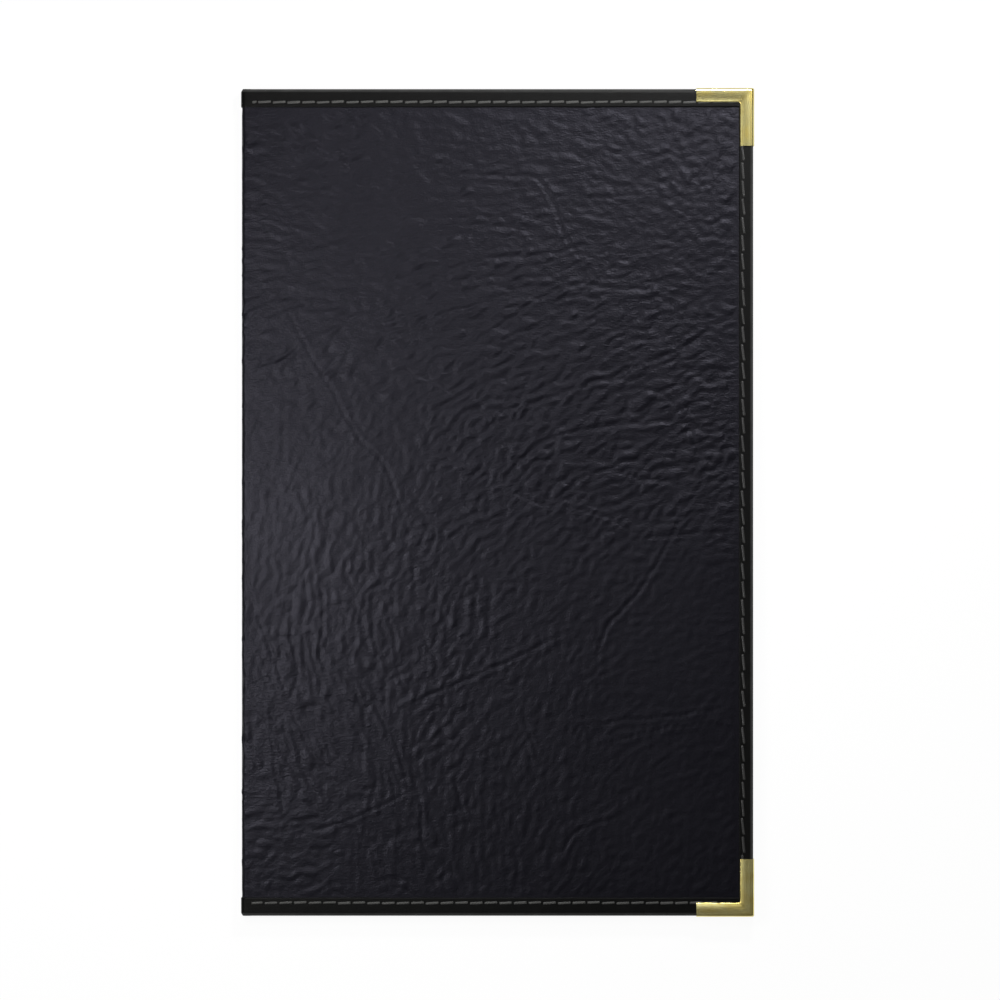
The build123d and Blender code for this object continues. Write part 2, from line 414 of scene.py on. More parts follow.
FRONT_SEED, BACK_SEED = 11, 41
LATTICE = 256                      # points of a noise lattice before it repeats
NOISE_GAIN = 1.9
STREAK_STEPS = 8
STREAK_REACH = 0.42                # of a streak each way, against its length
STREAK_GAIN = 1.7
VALLEY_WIDTH = 0.40
LINE_STEPS = 9                     # places between two points of a crease
PULL_REACH = 34 * MM
WRINKLE_WANDER = 0.35              # sideways drift of the wrinkles, as a share of their spacing
FINE_SPACING = 0.52                # spacing of the fine wrinkles against the broad ones
BROAD_RISE, BROAD_VALLEY = 0.20, 1.00
FINE_RISE, FINE_VALLEY = 0.26, 0.46
LEAST_FINE = 0.30                  # strength of the fine wrinkles where the hide doesn't pull
PEBBLE_SIZE = 3.0 * MM
PEBBLE_HEIGHT = 0.14
PEBBLED_PLACE, PEBBLED_REACH = (88 * MM, 140 * MM), (42 * MM, 38 * MM)
CREASE_WANDER = 0.5 * MM
CREASE_DRIFT = 9 * MM              # along a crease, from one bend of its wander to the next
CREASE_SEED = 71
LIP_HEIGHT, LIP_PLACE = 0.45, 1.9
FINE_TURNS = (0, 60, 120)
RELIEF_LIMIT = 0.65 * MM

# Where the hide pulls: place in millimetres, angle of the wrinkles in degrees, their strength,
# and their length against their spacing
PULLS = (
    (-80, 150, -22, 0.80, 3.0),
    (-75, 105, 2, 0.70, 3.0),
    (-5, 165, -5, 0.50, 3.0),
    (-5, 120, 6, 0.85, 3.0),
    (50, 150, -14, 0.70, 2.5),
    (92, 150, -55, 0.62, 1.2),
    (95, 105, -12, 0.60, 1.8),
    (-40, 88, 14, 0.80, 3.0),
    (20, 85, 18, 1.10, 2.5),
    (60, 58, 18, 1.25, 2.5),
    (5, 22, 38, 1.25, 2.5),
    (55, 12, 24, 1.40, 2.5),
    (98, 20, 8, 1.20, 2.0),
    (-105, 50, 40, 0.80, 3.0),
    (-60, 20, 62, 0.38, 2.0),
    (-98, -10, 80, 0.35, 2.0),
    (-25, -15, 40, 0.65, 2.0),
    (-78, -50, 86, 0.70, 2.5),
    (-25, -50, 80, 0.80, 2.0),
    (30, -30, 38, 0.45, 2.5),
    (85, -45, 20, 0.22, 2.0),
    (-92, -105, -58, 1.25, 3.5),
    (-60, -100, -66, 0.85, 2.5),
    (-20, -95, 35, 0.60, 2.0),
    (20, -100, 78, 0.45, 2.0),
    (75, -95, 9, 0.30, 2.5),
    (-95, -150, 24, 0.48, 2.0),
    (-45, -145, -72, 0.58, 2.5),
    (5, -150, 82, 0.60, 2.5),
    (60, -150, 55, 0.35, 2.0),
    (100, -140, 30, 0.25, 2.0),
)

# Natural creases: depth against the crease depth, width in millimetres, then the points
CREASES = (
    (0.9, 0.75, (-42, 157), (-28, 153), (-14, 148), (3, 147), (17, 146), (25, 135), (29, 123),
     (36, 112), (44, 101)),
    (0.7, 0.8, (-98, 93), (-90, 78), (-84, 66), (-74, 50), (-64, 31), (-53, 20), (-47, 8),
     (-43, -5)),
    (1.3, 0.55, (-38, 15.5), (-22, 15.2), (-5, 15)),
    (0.9, 0.75, (-5, 15), (6, 6), (17, 0), (34, -3), (50, -7), (60, -13)),
    (0.8, 0.8, (62, -17), (75, -15), (90, -14), (106, -13)),
    (0.9, 0.8, (66, 51), (76, 48), (84, 38), (89, 26), (92, 18)),
    (0.8, 0.9, (98, 24), (91, 8), (82, -8), (72, -27), (62, -42), (52, -53), (47, -62), (44, -78)),
    (0.7, 0.9, (-44, -93), (-24, -84), (-5, -76), (14, -67), (32, -58)),
    (0.8, 0.6, (-110, 170), (-97, 164), (-84, 158), (-71, 152), (-60, 152)),
    (0.5, 0.6, (-108, 129), (-98, 127), (-93, 124)),
    (0.9, 0.7, (-58, 58), (-45, 59), (-35, 57), (-26, 53), (-16, 46)),
    (0.9, 0.9, (-14, 70), (0, 79), (14, 89), (27, 96), (40, 100)),
    (0.8, 0.9, (-114, 61), (-104, 63), (-95, 67), (-84, 78)),
    (0.9, 0.9, (-50, 78), (-35, 82), (-18, 87), (-2, 90)),
    (0.8, 0.9, (-60, 80), (-42, 79), (-24, 84), (-8, 90)),
    (0.9, 1.0, (8, 42), (26, 48), (45, 55), (62, 61), (84, 70), (105, 84)),
    (0.8, 0.9, (-6, 32), (2, 40), (16, 45), (34, 49)),
    (0.9, 1.0, (0, 8), (10, 18), (22, 28), (40, 33), (60, 35), (78, 37)),
    (0.8, 0.9, (30, 6), (40, 12), (54, 14), (68, 10), (84, 10)),
    (0.8, 0.9, (-26, 104), (-8, 109), (10, 111), (24, 112), (38, 116)),
    (0.7, 0.8, (-40, 128), (-20, 128), (0, 128), (16, 126)),
    (0.7, 0.8, (22, 92), (38, 98), (52, 96), (66, 96)),
    (0.6, 0.9, (40, -100), (58, -98), (80, -96), (106, -92)),
    (0.6, 0.8, (44, -110), (70, -103), (104, -98)),
    (0.9, 0.7, (-94, -90), (-88, -104), (-80, -117), (-70, -124)),
    (0.9, 0.7, (-98, -92), (-94, -110), (-86, -124), (-80, -136)),
    (0.8, 0.7, (-102, -94), (-101, -112), (-98, -130), (-96, -142)),
    (0.8, 0.7, (-88, -92), (-78, -104), (-70, -114), (-64, -126)),
    (0.8, 0.8, (-112, -42), (-106, -56), (-100, -70), (-96, -84)),
    (0.8, 0.8, (-92, -44), (-93, -60), (-90, -74), (-92, -88)),
    (0.8, 0.8, (-80, -36), (-78, -50), (-80, -66), (-76, -80)),
    (0.7, 0.8, (-50, -46), (-46, -62), (-44, -78), (-40, -88)),
    (0.8, 0.7, (-36, -128), (-34, -140), (-34, -152), (-27, -165)),
    (0.7, 0.7, (-19, -126), (-16, -136), (-13, -146)),
    (0.7, 0.8, (-48, -100), (-44, -114), (-40, -126)),
    (0.7, 0.8, (-96, -150), (-76, -146), (-56, -138), (-38, -130)),
    (0.6, 0.8, (10, -90), (14, -104), (20, -118)),
    (0.6, 0.8, (28, -160), (36, -148), (52, -142)),
)


def eased(share):
    """A smooth rise from 0 to 1, level and without a bend at both ends."""
    return share * share * share * (share * (share * 6 - 15) + 10)


def lattice_noise(x, y, seed):
    """Smooth noise of about unit spread, with features one unit apart."""
    turns = np.random.default_rng(seed).random((LATTICE, LATTICE)) * 2 * math.pi
    left, low = np.floor(x).astype(int), np.floor(y).astype(int)
    fx, fy = x - left, y - low
    total = np.zeros_like(fx)
    for i in (0, 1):
        for j in (0, 1):
            turn = turns[(left + i) % LATTICE, (low + j) % LATTICE]
            ramp = np.cos(turn) * (fx - i) + np.sin(turn) * (fy - j)
            wx, wy = abs(1 - i - fx), abs(1 - j - fy)
            total += eased(wx) * eased(wy) * ramp
    return total * NOISE_GAIN


def line_noise(along, row, seed):
    """The same noise, read along one row of its lattice."""
    return lattice_noise(along, np.full_like(along, row), seed)


def pull_field(x, y):
    """Angle of the wrinkles, their strength and their length, from the places nearby."""
    heavy = np.zeros_like(x)
    cosine, sine, strength, length = (np.zeros_like(x) for _ in range(4))
    for place_x, place_y, angle, amount, stretch in PULLS:
        near = np.exp(-((x - place_x * MM) ** 2 + (y - place_y * MM) ** 2) / PULL_REACH ** 2)
        heavy += near
        cosine += near * math.cos(2 * math.radians(angle))
        sine += near * math.sin(2 * math.radians(angle))
        strength += near * amount
        length += near * stretch
    return 0.5 * np.arctan2(sine, cosine), strength / heavy, length / heavy


def streaks(x, y, spacing, seed):
    """Noise drawn out along the pull of the leather, about unit spread."""
    total = lattice_noise(x / spacing, y / spacing, seed)
    weight = np.ones_like(x)
    for direction in (-1, 1):
        at_x, at_y = x.copy(), y.copy()
        for k in range(1, STREAK_STEPS + 1):
            angle, _, length = pull_field(at_x, at_y)
            step = direction * spacing * STREAK_REACH * length / STREAK_STEPS
            at_x += step * np.cos(angle)
            at_y += step * np.sin(angle)
            share = 1 - k / (STREAK_STEPS + 1)
            total += share * lattice_noise(at_x / spacing, at_y / spacing, seed)
            weight += share
    return total / weight * STREAK_GAIN


def smooth_line(points):
    """A curve through given points, as closely spaced places."""
    points = np.array(points, float) * MM
    padded = np.concatenate([[2 * points[0] - points[1]], points, [2 * points[-1] - points[-2]]])
    places = []
    for a, b, c, d in zip(padded, padded[1:], padded[2:], padded[3:]):
        for t in np.linspace(0, 1, LINE_STEPS, endpoint=False):
            places.append(0.5 * (2 * b + (c - a) * t + (2 * a - 5 * b + 4 * c - d) * t * t
                                 + (3 * b - a - 3 * c + d) * t ** 3))
    return np.array(places + [points[-1]])


def crease_relief(x, y):
    """The long natural creases, as grooves with soft lips, in shares of the crease depth."""
    place = (x / CREASE_DRIFT, y / CREASE_DRIFT)
    wander_x = x + CREASE_WANDER * lattice_noise(*place, CREASE_SEED)
    wander_y = y + CREASE_WANDER * lattice_noise(*place, CREASE_SEED + 1)
    relief = np.zeros_like(x)
    for depth, width, *points in CREASES:
        line = smooth_line(points)
        width = width * MM
        nearest, share = np.full(x.shape, 1.0), np.zeros_like(x)
        for i, (place_x, place_y) in enumerate(line):
            distance = np.hypot(wander_x - place_x, wander_y - place_y)
            closer = distance < nearest
            nearest[closer] = distance[closer]
            share[closer] = i / (len(line) - 1)
        fade = np.sin(np.clip(share, 0.04, 0.96) * math.pi) ** 0.5
        relief -= depth * fade * np.exp(-(nearest / width) ** 2)
        relief += LIP_HEIGHT * depth * fade * np.exp(-((nearest - LIP_PLACE * width) / width) ** 2)
    return relief


def leather_relief(x, y, sizes, seed):
    """Height of the leather above its flat level: wrinkles, pebbles and long creases."""
    spacing = sizes.wrinkle_spacing
    _, strength, _ = pull_field(x, y)
    wander = WRINKLE_WANDER * spacing
    place = (x / (2.2 * spacing), y / (2.2 * spacing))
    at_x = x + wander * lattice_noise(*place, seed + 1)
    at_y = y + wander * lattice_noise(*place, seed + 2)
    broad = streaks(at_x, at_y, spacing, seed + 3)
    fine = streaks(at_x, at_y, FINE_SPACING * spacing, seed + 4)
    broken = lattice_noise(x / (3.4 * spacing), y / (2.6 * spacing), seed + 5)
    broken = smooth_step(broken, -1.0, 0.9)
    valleys = np.exp(-(broad / VALLEY_WIDTH) ** 2) * (0.35 + 0.65 * broken)
    valleys_fine = np.exp(-(fine / (1.5 * VALLEY_WIDTH)) ** 2) * (0.8 - 0.4 * broken)
    relief = strength * (BROAD_RISE * broad - BROAD_VALLEY * valleys)
    pull = LEAST_FINE + (1 - LEAST_FINE) * strength
    relief += pull * (FINE_RISE * fine - FINE_VALLEY * valleys_fine)
    bumps = lattice_noise(x / PEBBLE_SIZE, y / PEBBLE_SIZE, seed + 6)
    pebbled = np.exp(-(((x - PEBBLED_PLACE[0]) / PEBBLED_REACH[0]) ** 2
                       + ((y - PEBBLED_PLACE[1]) / PEBBLED_REACH[1]) ** 2))
    relief += 0.5 * pebbled * (np.abs(bumps) - 0.4) + PEBBLE_HEIGHT * bumps
    height = sizes.wrinkle_depth * relief
    if seed == FRONT_SEED:
        height += sizes.crease_depth * crease_relief(x, y)
    return np.clip(height, -RELIEF_LIMIT, RELIEF_LIMIT)


# Materials

GRAIN_SHARE, PORE_SHARE, FOLD_SHARE = 0.30, 0.22, 4.5     # parts of the leather's fine relief


def node_material(name, colour, roughness, **shader_values):
    """A material with its own shader, and the helpers that add to it."""
    material = bpy.data.materials.new(name)
    material.use_nodes = True
    shader = material.node_tree.nodes["Principled BSDF"]
    shader.inputs["Base Color"].default_value = (*colour, 1)
    shader.inputs["Roughness"].default_value = roughness
    for socket, value in shader_values.items():
        shader.inputs[socket.replace("_", " ")].default_value = value
    return material, material.node_tree, shader


def add_node(tree, kind, settings=None, **values):
    """A node with its settings and the values of its unlinked sockets."""
    node = tree.nodes.new(kind)
    for key, value in (settings or {}).items():
        setattr(node, key, value)
    for key, value in values.items():
        node.inputs[key.replace("_", " ")].default_value = value
    return node


def object_place(tree, scale=(1, 1, 1), turn=(0, 0, 0)):
    """Coordinates in metres on the object, stretched and turned."""
    place = add_node(tree, "ShaderNodeTexCoord")
    mapping = add_node(tree, "ShaderNodeMapping", Scale=scale, Rotation=turn)
    tree.links.new(place.outputs["Object"], mapping.inputs["Vector"])
    return mapping.outputs["Vector"]


def scaled(colour, share):
    """A colour made darker or lighter."""
    return tuple(share * c for c in colour)


def blend_colours(tree, factor, dark, light):
    """A colour between two, chosen by a value from 0 to 1."""
    mix = add_node(tree, "ShaderNodeMix", {"data_type": "RGBA"})
    mix.inputs["A"].default_value = (*dark, 1)
    mix.inputs["B"].default_value = (*light, 1)
    tree.links.new(factor, mix.inputs["Factor"])
    return mix.outputs["Result"]


def colour_by(tree, shader, factor, dark, light):
    """Base colour of a shader, between two colours."""
    tree.links.new(blend_colours(tree, factor, dark, light), shader.inputs["Base Color"])


def roughen(tree, shader, value, low, high, smooth, rough):
    """Roughness of a shader, from smooth at the low value to rough at the high one."""
    tree.links.new(remap(tree, value, low, high, smooth, rough), shader.inputs["Roughness"])


def attribute(tree, name):
    """A vector stored on the points of a piece."""
    return add_node(tree, "ShaderNodeAttribute", {"attribute_name": name}).outputs["Vector"]


def remap(tree, value, low, high, new_low, new_high):
    """A value moved from one range to another."""
    node = add_node(tree, "ShaderNodeMapRange", From_Min=low, From_Max=high,
                    To_Min=new_low, To_Max=new_high)
    tree.links.new(value, node.inputs["Value"])
    return node.outputs["Result"]


def join_values(tree, operation, first, second):
    """Two values joined by a sum, product or the like; either may be a number."""
    node = add_node(tree, "ShaderNodeMath", {"operation": operation})
    for socket, value in zip(node.inputs, (first, second)):
        if isinstance(value, (int, float)):
            socket.default_value = value
        else:
            tree.links.new(value, socket)
    return node.outputs["Value"]


def add_bump(tree, shader, height, depth, strength=1.0):
    """Surface relief from a height, where 1 is as high as the depth in metres."""
    bump = add_node(tree, "ShaderNodeBump", Strength=strength, Distance=depth)
    tree.links.new(height, bump.inputs["Height"])
    tree.links.new(bump.outputs["Normal"], shader.inputs["Normal"])


def texture(tree, kind, place, settings=None, output="Fac", **values):
    """The value of a texture at a place."""
    node = add_node(tree, kind, settings, **values)
    tree.links.new(place, node.inputs["Vector"])
    return node.outputs[output]


def noise(tree, place, scale, detail=2.0, rough=0.5):
    """Cloudy noise, by features per metre."""
    return texture(tree, "ShaderNodeTexNoise", place, Scale=scale, Detail=detail, Roughness=rough)


def pebbles(tree, place, scale):
    """Rounded grain cells, from 0 in the gaps to about 1 on the pebbles."""
    distance = texture(tree, "ShaderNodeTexVoronoi", place, {"feature": "SMOOTH_F1"}, "Distance",
                       Scale=scale, Smoothness=0.35)
    return remap(tree, distance, 0.0, 0.75, 1.0, 0.0)


def leather_material(colours):
    """Dyed grain leather: small pebbles, fine drawn-out wrinkles, uneven polish."""
    material, tree, shader = node_material(
        "grain_leather", colours.leather, 0.42, Specular_IOR_Level=0.15,
        Specular_Tint=(0.84, 0.82, 1.0, 1))
    place = object_place(tree)
    grain = pebbles(tree, place, 1150)
    pores = noise(tree, place, 2600, 3)
    clouds = noise(tree, place, 18, 3)
    height = join_values(tree, "MULTIPLY", grain, GRAIN_SHARE)
    height = join_values(tree, "ADD", height, join_values(tree, "MULTIPLY", pores, PORE_SHARE))
    shares = add_node(tree, "ShaderNodeSeparateXYZ")
    tree.links.new(attribute(tree, "pull"), shares.inputs["Vector"])
    for turn, share in zip(FINE_TURNS, shares.outputs):
        turned = object_place(tree, (260, 620, 260), (0, 0, -math.radians(turn)))
        drawn = noise(tree, turned, 1.0, 3, 0.6)
        folds = join_values(tree, "ABSOLUTE", join_values(tree, "SUBTRACT", drawn, 0.5), 0)
        folds = join_values(tree, "MULTIPLY", folds, FOLD_SHARE)
        folds = join_values(tree, "MULTIPLY", folds, share)
        height = join_values(tree, "ADD", height, folds)
    add_bump(tree, shader, height, 0.09 * MM, 1.0)
    roughen(tree, shader, clouds, 0.3, 0.7, 0.38, 0.46)
    colour_by(tree, shader, grain, scaled(colours.leather, 0.7), scaled(colours.leather, 1.5))
    return material


def strip_material(colours):
    """Coated binding cloth: smoother than the leather, with a fine even grain and a painted
    highlight along its fold.
    """
    material, tree, shader = node_material(
        "binding_cloth", colours.strip, 0.46, Specular_IOR_Level=0.07,
        Sheen_Weight=0.04, Sheen_Roughness=0.35)
    place = object_place(tree)
    grain = pebbles(tree, place, 2100)
    clouds = noise(tree, place, 160, 3)
    add_bump(tree, shader, join_values(tree, "ADD", grain, clouds), 0.035 * MM, 0.8)
    roughen(tree, shader, clouds, 0.3, 0.7, 0.38, 0.50)
    # The fold is painted paler as a highlight, a little unevenly with the clouds
    fold_highlight = add_node(tree, "ShaderNodeAttribute", {"attribute_name": "fold_highlight"}).outputs["Fac"]
    tint_share = join_values(tree, "MULTIPLY", fold_highlight, remap(tree, clouds, 0.3, 0.7, 0.7, 1.0))
    colour_by(tree, shader, tint_share, colours.strip, FOLD_HIGHLIGHT)
    return material


def thread_material(name, colour, roughness):
    """Two-ply sewing thread with a slight sheen."""
    material, tree, shader = node_material(
        name, colour, roughness, Specular_IOR_Level=0.25, Sheen_Weight=0.12, Sheen_Roughness=0.4)
    place = object_place(tree, turn=(0, 0, math.radians(52)))
    ply = texture(tree, "ShaderNodeTexWave", place, Scale=420, Distortion=1.2, Detail=1.0)
    fuzz = noise(tree, place, 6000, 2)
    add_bump(tree, shader, join_values(tree, "ADD", ply, fuzz), 0.05 * MM, 0.7)
    colour_by(tree, shader, ply, scaled(colour, 0.55), colour)
    return material


def brass_material(colours):
    """Plated brass: fine draw lines from the press and slight dulling."""
    material, tree, shader = node_material("plated_brass", colours.brass, 0.24, Metallic=1.0)
    dull = noise(tree, object_place(tree), 150, 3)
    stretch = add_node(tree, "ShaderNodeMapping", Scale=(DRAW_LINES, DRAW_LINES / 60, 1))
    tree.links.new(attribute(tree, "leg"), stretch.inputs["Vector"])
    lines = noise(tree, stretch.outputs["Vector"], 1.0, 3, 0.6)
    roughen(tree, shader, dull, 0.3, 0.75, 0.18, 0.23)
    aged = (0.80 * colours.brass[0], 0.72 * colours.brass[1], 0.48 * colours.brass[2])
    tint_share = remap(tree, join_values(tree, "ADD", lines, dull), 0.85, 1.20, 0.0, 1.0)
    colour_by(tree, shader, tint_share, colours.brass, aged)
    add_bump(tree, shader, lines, 0.03 * MM, 0.7)
    return material


def lining_material(colours):
    """Plain-woven lining cloth, two sets of yarns over and under each other."""
    material, tree, shader = node_material(
        "woven_lining", colours.lining, 0.75, Sheen_Weight=0.25, Sheen_Roughness=0.5)
    place = object_place(tree)
    yarns = [texture(tree, "ShaderNodeTexWave", place, {"bands_direction": direction},
                     Scale=300, Distortion=0.6, Detail=1.0, Detail_Scale=2.0)
             for direction in ("X", "Y")]
    weave = join_values(tree, "MULTIPLY", *yarns)
    add_bump(tree, shader, weave, 0.12 * MM, 0.8)
    colour_by(tree, shader, weave, colours.lining, scaled(colours.lining, 2.0))
    return material


def vinyl_material(colours):
    """Clear soft vinyl with faint waves and a little handling haze."""
    material, tree, shader = node_material(
        "clear_vinyl", colours.vinyl, 0.08, Transmission_Weight=1.0, IOR=1.46)
    place = object_place(tree)
    haze = noise(tree, place, 45, 4)
    roughen(tree, shader, haze, 0.35, 0.7, 0.04, 0.14)
    add_bump(tree, shader, noise(tree, place, 28, 2), 0.35 * MM, 0.25)
    return material


def board_material(colours):
    """Grey board of pressed fibre, with flecks."""
    material, tree, shader = node_material("grey_board", colours.board, 0.85)
    place = object_place(tree)
    flecks = noise(tree, place, 1500, 4, 0.7)
    factor = remap(tree, flecks, 0.35, 0.65, 0.0, 1.0)
    colour_by(tree, shader, factor, scaled(colours.board, 0.6), scaled(colours.board, 1.35))
    add_bump(tree, shader, flecks, 0.08 * MM, 0.6)
    return material


def floor_material(colours):
    """Pale studio floor that the camera and shiny pieces see as white, with its soft shadow."""
    material, tree, shader = node_material("studio_floor", colours.floor, 0.9)
    place = object_place(tree)
    paper = noise(tree, place, 300, 2)
    near_white = tuple(min(1, 1.02 * c) for c in colours.floor)
    colour_by(tree, shader, paper, colours.floor, near_white)
    glow = add_node(tree, "ShaderNodeEmission", Strength=1.0)
    rays = add_node(tree, "ShaderNodeLightPath")
    seen = rays.outputs["Is Camera Ray"]
    for kind in ("Is Glossy Ray", "Is Transmission Ray"):
        seen = join_values(tree, "MAXIMUM", seen, rays.outputs[kind])
    share = join_values(tree, "MULTIPLY", seen, FLOOR_GLOW)
    mix = add_node(tree, "ShaderNodeMixShader")
    tree.links.new(share, mix.inputs["Fac"])
    tree.links.new(shader.outputs["BSDF"], mix.inputs[1])
    tree.links.new(glow.outputs["Emission"], mix.inputs[2])
    tree.links.new(mix.outputs["Shader"], tree.nodes["Material Output"].inputs["Surface"])
    return material


# Outer leather and lining

def wrap_section(level, end_x, step):
    """Section of a layer of the front leaf: up the spine, round the crease and along the leaf.

    Returns places (x, level); the level gives how far the layer lies from the closing plane.
    """
    inset = STRIP_LEVEL - level
    radius = max(CREASE_RADIUS - inset, LEAST_RADIUS)
    corners = [(SPINE_X + inset, 0), (SPINE_X + inset, level), (end_x, level)]
    return rounded_path(corners, radius, step)


def flat_length(path):
    """Distance along a section, with its crease at the crease's own place."""
    run = run_length(path)
    crease = np.argmin(np.hypot(path[:, 0] - CREASE_X, path[:, 1] - path[-1, 1]))
    return run - run[crease] + CREASE_X


def off_section(path, rise):
    """Places (x, level) off a section by a rise, one row for each point; level 0 is kept."""
    normals = path_normals(path)
    x = path[:, 0][:, None] + normals[:, 0][:, None] * rise
    level = path[:, 1][:, None] + normals[:, 1][:, None] * rise
    level[0] = 0
    return x, level


def make_hide(leaf, sizes, material):
    """One leaf's half of the hide, from the middle of the spine to the fore edge."""
    side = LEAVES[leaf]
    path = wrap_section(FIELD_LEVEL, FIELD_X, sizes.grid_step)
    path = np.concatenate([path, [((FIELD_X + EDGE_X) / 2, FIELD_LEVEL), (EDGE_X, FIELD_LEVEL)]])
    y = across_leaf(sizes.grid_step)
    along, across = np.meshgrid(flat_length(path), y, indexing="ij")
    seed = FRONT_SEED if side > 0 else BACK_SEED
    from_spine = run_length(path)[:, None]
    inside = inside_strips(along, across)
    relief = leather_relief(along, side * across, sizes, seed)
    relief = relief * smooth_step(from_spine, 0, SPINE_FADE) * smooth_step(inside, 0, SEAM_FADE)
    pinch = (FIELD_LEVEL - PINCHED_LEVEL) * (1 - smooth_step(inside, 0, PILLOW_WIDTH))
    rise = relief - pinch
    x, level = off_section(path, rise)
    x[-1] = EDGE_X
    outer = in_frame(x, across, level, side)
    low = wrap_section(LEATHER_LEVEL, EDGE_X, INNER_STEP)
    inner = in_frame(low[:, 0][:, None], np.array([[-EDGE_Y, EDGE_Y]]), low[:, 1][:, None], side)
    piece = closed_sheet(f"{leaf}_hide", outer, inner, material)
    add_pull(piece, along, across)
    return piece


def add_pull(piece, along, across):
    """How much of the fine relief runs in each of three directions, at each point of the hide."""
    angle, strength, _ = pull_field(along, across)
    shares = [np.clip(np.cos(2 * (angle - math.radians(turn))), -0.5, 1) + 0.5
              for turn in FINE_TURNS]
    shares = np.stack(shares, -1) ** 2
    shares = shares / shares.sum(-1, keepdims=True) * np.clip(strength, 0.25, 1)[..., None]
    add_vector(piece, "pull", shares)


def lining_section():
    """Middle of the lining: inside the spine, over the hinge and up onto the board."""
    half = LINING_THICKNESS / 2
    spine_level = LEATHER_LEVEL - half
    inset = STRIP_LEVEL - spine_level
    return rounded_path(
        [(SPINE_X + inset, 0), (SPINE_X + inset, spine_level),
         (BOARD_X - LINING_THICKNESS - half, spine_level), (BOARD_X - half, LINING_LEVEL + half),
         (EDGE_X, LINING_LEVEL + half)],
        LINING_BEND, LINING_STEP)


def make_lining(leaf, material):
    """One leaf's half of the lining, with slight waves where the glue is uneven."""
    side = LEAVES[leaf]
    path = lining_section()
    y = spaced(-EDGE_Y, EDGE_Y, LINING_STEP)
    along, across = np.meshgrid(flat_length(path), y, indexing="ij")
    wave = LINING_WAVE * lattice_noise(
        along / LINING_DRIFT[0], across / LINING_DRIFT[1], LINING_SEED)
    wave *= smooth_step(run_length(path)[:, None], 0, SPINE_FADE)
    wave *= smooth_step(FIELD_Y - np.abs(across), 0, PILLOW_WIDTH)
    faces = []
    for offset in (LINING_THICKNESS / 2, -LINING_THICKNESS / 2):
        shift = wave * (offset < 0) + offset
        x, level = off_section(path, shift)
        faces.append(in_frame(x, across, level, side))
    return closed_sheet(f"{leaf}_lining_cloth", *faces, material)


def bend_with_leaf(piece, leaf):
    """Bake the piece's place in the frame into its points."""
    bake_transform(piece)


# Clear pockets

def make_pocket(leaf, material):
    """Clear pocket: a thin film, held flat under the strips and a little baggy between them."""
    side = LEAVES[leaf]
    x = np.concatenate([spaced(POCKET_X, FIELD_X, POCKET_STEP), [EDGE_X]])
    y = across_leaf(POCKET_STEP)
    along, across = np.meshgrid(x, y, indexing="ij")
    inside = inside_strips(along, across)
    rest_level = LINING_LEVEL - VINYL_THICKNESS
    lift = (rest_level - POCKET_LEVEL) * smooth_step(inside, 0, POCKET_SLOPE)
    swell = lattice_noise(along / POCKET_DRIFT[0], across / POCKET_DRIFT[1], POCKET_SEED)
    lift = lift * np.clip(0.35 + 0.65 * (0.5 + 0.5 * swell), 0, 1)
    outer = in_frame(along, across, LINING_LEVEL - lift, side)
    inner = in_frame(along, across, rest_level - lift, side)
    return closed_sheet(f"{leaf}_pocket_film", outer, inner, material)


# Binding strips

def seam_shape(distance, along, seam, pitch, start, pucker, sizes):
    """How far a strip is pulled down: a groove along the seam, deeper at each needle hole.

    The cloth puckers up between the holes, on one side of the seam or (with pucker 0) nowhere.
    """
    groove = np.exp(-((distance - seam) / SEAM_GROOVE) ** 2)
    hole = np.exp(-(((along - start + pitch / 2) % pitch - pitch / 2) / HOLE_REACH) ** 2)
    raised = np.exp(-((distance - seam - pucker * PUCKER_PLACE) / PUCKER_WIDTH) ** 2) * (1 - hole)
    return sizes.seam_depth * groove * (0.45 + 0.55 * hole) - abs(pucker) * PUCKER_HEIGHT * raised


def strip_ring(width):
    """Closed section of a folded strip: distance from the fold, and depth.

    It runs along the outside from the outer free edge to the inner one, and back inside.
    """
    half = STRIP_THICKNESS / 2
    depth = STRIP_LEVEL - INNER_LEVEL
    fold = min(STRIP_FOLD, 0.49 * (depth - STRIP_THICKNESS))
    middle = rounded_path([(width - half, half), (half, half), (half, depth - half),
                           (width - FLANGE_SETBACK - half, depth - half)], fold, STRIP_ACROSS)
    return sheet_section(middle, path_normals(middle), half, edge_thickness(middle, half, 0.06))


def shaped_ring(ring, depth, along, end_depth, seam, pitch, start, wander, pucker, sizes):
    """The section at one place along a strip: pulled down at its seam, thin where the leaf is."""
    distance, low = ring[:, 0], ring[:, 1]
    pull = seam_shape(distance, along, seam, pitch, start, pucker, sizes)
    free = smooth_step(distance, seam, distance.max()) * FREE_EDGE_DROP
    count = len(ring) // 2
    shows = np.zeros(len(ring), bool)
    shows[:count] = True
    flat = np.interp(low, [0, STRIP_THICKNESS, depth - STRIP_THICKNESS, depth],
                     [0, STRIP_THICKNESS, end_depth - STRIP_THICKNESS, end_depth])
    outside = low < depth / 2
    flat = flat + np.where(shows & outside, pull + free, 0) - np.where(shows & ~outside, pull, 0)
    edge = wander * smooth_step(distance, seam, distance.max())
    return distance + edge, flat


def paint_fold_highlight(strip, ring, stations):
    """Mark the fold of a strip, where its material paints a highlight."""
    fold_highlight = 1 - smooth_step(ring[:, 0], FOLD_HIGHLIGHT_WIDTH / 2, FOLD_HIGHLIGHT_WIDTH)
    add_vector(strip, "fold_highlight", np.repeat(np.tile(fold_highlight, stations)[:, None], 3, axis=1))
    return strip


